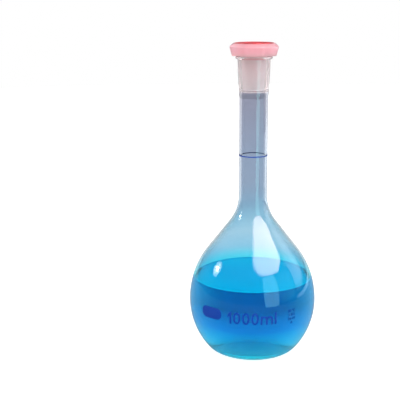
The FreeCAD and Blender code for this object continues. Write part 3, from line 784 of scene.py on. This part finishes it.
class FLASK_OT_glass(bpy.types.Operator):
    """Turn the glass flask in one closed wall, with its ground joint frosted"""
    bl_idname = "flask.glass"
    bl_label = "Glass flask"

    def execute(self, context):
        sizes, finish = context.scene.flask_glass_sizes, context.scene.flask_finishes
        glass = lathe("glass_vessel", glass_outline(sizes), sizes.steps)
        glass.data.materials.append(clear_glass(finish, sizes, context.scene.flask_liquid_sizes))
        glass.data.materials.append(ground_glass())
        joint_top = sizes.rim_height - sizes.joint_drop
        joint_foot = joint_top - sizes.joint_length
        for face in glass.data.polygons:
            middle = face.center
            reach = math.hypot(middle.x, middle.y)
            inward = middle.x * face.normal.x + middle.y * face.normal.y < 0
            if inward and joint_foot < middle.z < joint_top and reach < sizes.joint_radius:
                face.material_index = 1
        smooth(glass, degrees=38)
        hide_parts("flask_glass")
        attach(glass, "flask")
        return {"FINISHED"}


class FLASK_OT_solution(bpy.types.Operator):
    """Fill the bulb with solution that wets the glass"""
    bl_idname = "flask.solution"
    bl_label = "Solution"

    def execute(self, context):
        scene = context.scene
        outline = liquid_outline(scene.flask_glass_sizes, scene.flask_liquid_sizes)
        liquid = lathe("solution_fill", outline, scene.flask_glass_sizes.steps)
        liquid.data.materials.append(blue_solution(scene.flask_finishes, scene.flask_liquid_sizes))
        smooth(liquid, degrees=50)
        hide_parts("solution")
        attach(liquid, "flask")
        return {"FINISHED"}


class FLASK_OT_stopper(bpy.types.Operator):
    """Make the octagonal head with rounded edges, hollow it and join its tapered plug"""
    bl_idname = "flask.stopper"
    bl_label = "Stopper"

    def execute(self, context):
        g, stopper = context.scene.flask_glass_sizes, context.scene.flask_stopper_sizes
        shape = head_outline(g, stopper)
        half_flat = math.pi / FLATS
        deselect()
        reach = shape[0].x / math.cos(half_flat)
        bpy.ops.mesh.primitive_circle_add(vertices=FLATS, radius=reach, fill_type="NGON",
                                          location=(0, 0, shape[0].y), rotation=(0, 0, half_flat))
        head = bpy.context.object
        head.name = "stopper_head"
        settle(head)
        bpy.ops.object.mode_set(mode="EDIT")
        bpy.ops.mesh.select_all(action="SELECT")
        cut = stopper.corner * math.tan(half_flat)
        bpy.ops.mesh.bevel(offset=cut, segments=CORNER_SEGMENTS, affect="VERTICES")
        bpy.ops.mesh.select_all(action="SELECT")
        for start, end in zip(shape, shape[1:]):
            swell = end.x / start.x
            bpy.ops.mesh.extrude_region_move(TRANSFORM_OT_translate={"value": (0, 0, end.y - start.y)})
            bpy.ops.transform.resize(value=(swell, swell, 1), center_override=(0, 0, end.y))
        bpy.ops.mesh.select_all(action="SELECT")
        bpy.ops.mesh.normals_make_consistent(inside=False)
        bpy.ops.object.mode_set(mode="OBJECT")
        combine(head, lathe("plug", plug_outline(g, stopper), stopper.steps), "UNION")
        combine(head, lathe("hollow", hollow_outline(g, stopper), stopper.steps), "DIFFERENCE")
        head.data.materials.clear()
        head.data.materials.append(natural_plastic(context.scene.flask_finishes))
        smooth(head, degrees=35)
        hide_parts("stopper_shell")
        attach(head, "stopper")
        return {"FINISHED"}


class FLASK_OT_insert(bpy.types.Operator):
    """Turn the coloured insert with its rounded rim and skirt"""
    bl_idname = "flask.insert"
    bl_label = "Insert"

    def execute(self, context):
        stopper = context.scene.flask_stopper_sizes
        insert = lathe("red_insert", insert_outline(stopper), stopper.steps)
        insert.data.materials.append(red_plastic(context.scene.flask_finishes))
        smooth(insert, degrees=35)
        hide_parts("colour_insert")
        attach(insert, "stopper_insert")
        return {"FINISHED"}


class FLASK_OT_marks(bpy.types.Operator):
    """Fire the enamel marks: the line, the capacity, the writing panel and the small print"""
    bl_idname = "flask.marks"
    bl_label = "Enamel marks"

    def execute(self, context):
        enamel = blue_enamel(context.scene.flask_finishes)
        for name in ("graduation_ring", "capacity_marking", "writing_panel"):
            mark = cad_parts[name]
            mark.data.materials.clear()
            mark.data.materials.append(enamel)
        sizes = context.scene.flask_mark_sizes
        reach = context.scene.flask_glass_sizes.bulb_radius
        place = way_to(math.degrees(sizes.small_turn), 0) * reach
        place.z = sizes.small_level
        deselect()
        bpy.ops.object.text_add(location=place, rotation=(math.pi / 2, 0, sizes.small_turn))
        letters = bpy.context.object
        letters.name = "small_print"
        letters.data.body = sizes.small_text.replace("/ ", "\n")
        letters.data.size = sizes.small_height
        letters.data.space_line = sizes.line_space
        letters.data.align_x = "CENTER"
        letters.data.align_y = "CENTER"
        letters.data.extrude = sizes.enamel
        letters.data.offset = sizes.small_height * sizes.stroke_gain
        bpy.ops.object.convert(target="MESH")
        settle(letters)
        bpy.ops.object.mode_set(mode="EDIT")
        close_mesh(TINY)
        letters.data.materials.clear()
        letters.data.materials.append(enamel)
        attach(letters, "flask")
        return {"FINISHED"}


def add_math(tree, operation, *values):
    """A Math node fed with sockets or plain numbers."""
    node = tree.nodes.new("ShaderNodeMath")
    node.operation = operation
    for socket, value in zip(node.inputs, values):
        feed(tree, socket, value)
    return node.outputs[0]


def stage_white(tree, strength, light, seen_as, mirrored):
    """Sets a glow's strength: as light, as seen directly or through glass, and as mirrored in gloss."""
    path = tree.nodes.new("ShaderNodeLightPath")
    seen = add_math(tree, "MAXIMUM", path.outputs["Is Camera Ray"], path.outputs["Is Transmission Ray"])
    other = add_math(tree, "MULTIPLY_ADD", path.outputs["Is Glossy Ray"], mirrored - light, light)
    unseen = add_math(tree, "SUBTRACT", 1.0, seen)
    rest = add_math(tree, "MULTIPLY", other, unseen)
    tree.links.new(add_math(tree, "MULTIPLY_ADD", seen, seen_as, rest), strength)


def way_to(turn, rise):
    """The direction at that turn from the front and that rise over the horizon."""
    turn, rise = math.radians(turn), math.radians(rise)
    return Vector((math.sin(turn) * math.cos(rise), -math.cos(turn) * math.cos(rise), math.sin(rise)))


def soft_lamp(name, turn, rise, far, size, radiance):
    """A square lamp that lights the surfaces and doesn't show in reflections."""
    deselect()
    bpy.ops.object.light_add(type="AREA", location=MIDDLE + way_to(turn, rise) * far)
    lamp = bpy.context.object
    lamp.name = name
    lamp.data.shape = "SQUARE"
    lamp.data.size = size
    lamp.data.energy = radiance * math.pi * size * size
    lamp.rotation_mode = "QUATERNION"
    lamp.rotation_quaternion = (MIDDLE - lamp.location).to_track_quat("-Z", "Y")
    lamp.visible_camera = False
    lamp.visible_transmission = False
    lamp.visible_glossy = False


def card(name, turn, rise, far, size, radiance, target, tone=(1, 1, 1), soft=0.5, square=4.0):
    """A bright card that faces the target and that only reflections see."""
    place = target + way_to(turn, rise) * far
    facing = (target - place).to_track_quat("Z", "Y").to_euler()
    glowing_card(name, place, facing, size, radiance, tone, soft, square)


def floor_card(name, turn, far, size, radiance):
    """A bright card lying on the floor that only reflections see."""
    place = way_to(turn, 0) * far
    place.z = 0.001
    glowing_card(name, place, (0, 0, math.radians(turn)), size, radiance, (0.85, 0.93, 1.0), 0.4, 8.0)


def glowing_card(name, place, facing, size, radiance, tone, soft, square):
    """The card itself, which fades towards its rounded edges."""
    deselect()
    bpy.ops.mesh.primitive_plane_add(size=1, location=place, rotation=facing)
    piece = bpy.context.object
    piece.name = name
    piece.scale = (size[0], size[1], 1)
    settle(piece)
    material = bpy.data.materials.new(name)
    material.use_nodes = True
    tree = material.node_tree
    tree.nodes.remove(tree.nodes["Principled BSDF"])
    glow = tree.nodes.new("ShaderNodeEmission")
    spread = tree.nodes.new("ShaderNodeUVMap")
    split = tree.nodes.new("ShaderNodeSeparateXYZ")
    tree.links.new(spread.outputs["UV"], split.inputs[0])
    reach = []
    for axis in "XY":
        side = add_math(tree, "MULTIPLY_ADD", split.outputs[axis], 2.0, -1.0)
        reach.append(add_math(tree, "POWER", add_math(tree, "ABSOLUTE", side), square))
    fade = tree.nodes.new("ShaderNodeMapRange")
    fade.interpolation_type = "SMOOTHSTEP"
    fade.inputs["From Min"].default_value = 1.0
    fade.inputs["From Max"].default_value = 1.0 - soft
    tree.links.new(add_math(tree, "ADD", *reach), fade.inputs["Value"])
    tree.links.new(add_math(tree, "MULTIPLY", fade.outputs["Result"], radiance), glow.inputs["Strength"])
    glow.inputs["Color"].default_value = (*tone, 1.0)
    tree.links.new(glow.outputs[0], tree.nodes["Material Output"].inputs["Surface"])
    piece.data.materials.append(material)
    piece.visible_camera = False
    piece.visible_diffuse = False
    piece.visible_transmission = False
    piece.visible_shadow = False


def dull_white(name, grey, light, seen_as, mirrored):
    """A dull material of one grey whose glow makes it look white."""
    material, tree, shader = nodes_of(name)
    shader.inputs["Base Color"].default_value = (grey, grey, grey, 1.0)
    shader.inputs["Roughness"].default_value = 1.0
    shader.inputs["Specular IOR Level"].default_value = 0.0
    shader.inputs["Emission Color"].default_value = (1.0, 1.0, 1.0, 1.0)
    stage_white(tree, shader.inputs["Emission Strength"], light, seen_as, mirrored)
    return material


def lay_floor(stage):
    """The pale floor, which keeps the flask's shadow."""
    deselect()
    bpy.ops.mesh.primitive_plane_add(size=2 * stage.floor, location=(0, 0, -stage.floor_drop))
    floor = bpy.context.object
    floor.name = "floor"
    settle(floor)
    floor.data.materials.append(dull_white("pale_floor", stage.floor_grey, 0.0, stage.floor_seen, 0.0))


def stand_backdrop(stage):
    """The round white backdrop."""
    bpy.ops.mesh.primitive_cylinder_add(vertices=96, radius=stage.wall, depth=stage.wall_height,
                                        end_fill_type="NOTHING", location=(0, 0, stage.wall_height / 2))
    wall = bpy.context.object
    wall.name = "backdrop"
    settle(wall)
    white = dull_white("white_backdrop", 0.0, stage.room_light, stage.room_seen, stage.room_mirrored)
    wall.data.materials.append(white)


def light_room(scene, stage):
    """The white room beyond the backdrop, whose ceiling is dim in reflections."""
    world = bpy.data.worlds.new("white_room")
    world.use_nodes = True
    scene.world = world
    back = world.node_tree.nodes["Background"]
    back.inputs["Color"].default_value = (1.0, 1.0, 1.0, 1.0)
    stage_white(world.node_tree, back.inputs["Strength"], stage.room_light, stage.room_seen, stage.ceiling)


def hang_lights():
    """The cards that give the highlights, then the lamps that light the surfaces."""
    card("shoulder_card", turn=50, rise=54, far=1.1, size=(1.40, 1.0), radiance=31.0, target=SHOULDER,
         tone=(1.0, 0.80, 0.78), soft=0.6, square=2.2)
    card("strip_card", turn=35, rise=7, far=0.6, size=(0.30, 0.46), radiance=10.0, target=MIDDLE,
         tone=(0.4, 1.0, 1.0), soft=0.35, square=8.0)
    card("front_right_card", turn=66, rise=7, far=0.62, size=(0.46, 0.46), radiance=2.5, target=MIDDLE,
         tone=(0.3, 0.9, 1.0), soft=1.0)
    card("right_card", turn=98, rise=16, far=1.0, size=(1.1, 0.80), radiance=4.5, target=MIDDLE,
         tone=(0.9, 0.95, 1.0), soft=1.0, square=2.0)
    card("left_card", turn=-87, rise=25, far=1.1, size=(0.10, 0.10), radiance=300.0, target=SHOULDER,
         soft=1.0)
    card("left_glow_card", turn=-87, rise=25, far=1.12, size=(0.40, 0.40), radiance=25.0, target=SHOULDER,
         soft=1.0, square=2.0)
    card("upper_left_card", turn=-123, rise=38, far=1.1, size=(0.09, 0.09), radiance=300.0, target=SHOULDER)
    floor_card("neck_side_card", turn=92, far=1.5, size=(2.4, 1.6), radiance=2.5)
    for name, turn, rise in (("key_lamp", 40, 28), ("fill_lamp", -45, 12)):
        soft_lamp(name, turn, rise, far=1.4, size=0.9, radiance=3.9)


def place_camera(scene, stage):
    """The camera in front of the flask, looking down on it."""
    bpy.ops.object.camera_add(location=(0, -stage.distance, stage.height))
    camera = bpy.context.object
    pan, down, roll = stage.pan, stage.down, stage.roll
    ahead = Vector((-math.sin(pan) * math.cos(down), math.cos(pan) * math.cos(down), -math.sin(down)))
    across = ahead.cross(Vector((0, 0, 1))).normalized()
    above = across.cross(ahead)
    side = across * math.cos(roll) + above * math.sin(roll)
    crown = above * math.cos(roll) - across * math.sin(roll)
    camera.rotation_mode = "QUATERNION"
    camera.rotation_quaternion = Matrix((side, crown, -ahead)).transposed().to_quaternion()
    camera.data.sensor_width = 36.0
    camera.data.lens = stage.lens
    camera.data.clip_start = 0.01
    camera.data.clip_end = 100.0
    scene.camera = camera


class FLASK_OT_stage(bpy.types.Operator):
    """Set the floor, the soft lights and the camera"""
    bl_idname = "flask.stage"
    bl_label = "Stage"

    def execute(self, context):
        scene, stage = context.scene, context.scene.flask_stage_sizes
        lay_floor(stage)
        stand_backdrop(stage)
        light_room(scene, stage)
        hang_lights()
        place_camera(scene, stage)
        scene.view_settings.view_transform = "Standard"
        return {"FINISHED"}


class FLASK_PT_sidebar(bpy.types.Panel):
    """Sizes, finishes and the operators that make each piece"""
    bl_idname = "FLASK_PT_sidebar"
    bl_label = "Volumetric flask"
    bl_space_type = "VIEW_3D"
    bl_region_type = "UI"
    bl_category = "Flask"

    def draw(self, context):
        layout = self.layout
        for label, groups, operators in PANEL_ROWS:
            box = layout.box()
            box.label(text=label)
            for group in groups:
                sizes = getattr(context.scene, group)
                for name in sizes.__annotations__:
                    box.prop(sizes, name)
            for operator in operators:
                box.operator(operator.bl_idname)


SIZE_GROUPS = {
    "flask_glass_sizes": GlassSizes,
    "flask_liquid_sizes": LiquidSizes,
    "flask_stopper_sizes": StopperSizes,
    "flask_mark_sizes": MarkSizes,
    "flask_finishes": Finishes,
    "flask_stage_sizes": StageSizes,
}
PANEL_ROWS = (
    ("Glass", ("flask_glass_sizes",), (FLASK_OT_glass,)),
    ("Solution", ("flask_liquid_sizes",), (FLASK_OT_solution,)),
    ("Stopper", ("flask_stopper_sizes",), (FLASK_OT_stopper, FLASK_OT_insert)),
    ("Marks", ("flask_mark_sizes",), (FLASK_OT_marks,)),
    ("Finishes", ("flask_finishes",), ()),
    ("Stage", ("flask_stage_sizes",), (FLASK_OT_stage,)),
)
OPERATORS = (
    FLASK_OT_glass, FLASK_OT_solution, FLASK_OT_stopper, FLASK_OT_insert, FLASK_OT_marks, FLASK_OT_stage,
)


def register():
    """Adds the classes and the scene's size groups."""
    for kind in (*SIZE_GROUPS.values(), *OPERATORS, FLASK_PT_sidebar):
        bpy.utils.register_class(kind)
    for name, kind in SIZE_GROUPS.items():
        setattr(bpy.types.Scene, name, PointerProperty(type=kind))


def unregister():
    """Takes the classes and the size groups away."""
    for name in SIZE_GROUPS:
        delattr(bpy.types.Scene, name)
    for kind in (*SIZE_GROUPS.values(), *OPERATORS, FLASK_PT_sidebar):
        bpy.utils.unregister_class(kind)


def main():
    """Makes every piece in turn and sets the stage."""
    register()
    bpy.ops.flask.glass()
    bpy.ops.flask.solution()
    bpy.ops.flask.stopper()
    bpy.ops.flask.insert()
    bpy.ops.flask.marks()
    bpy.ops.flask.stage()


if __name__ == "__main__":
    main()
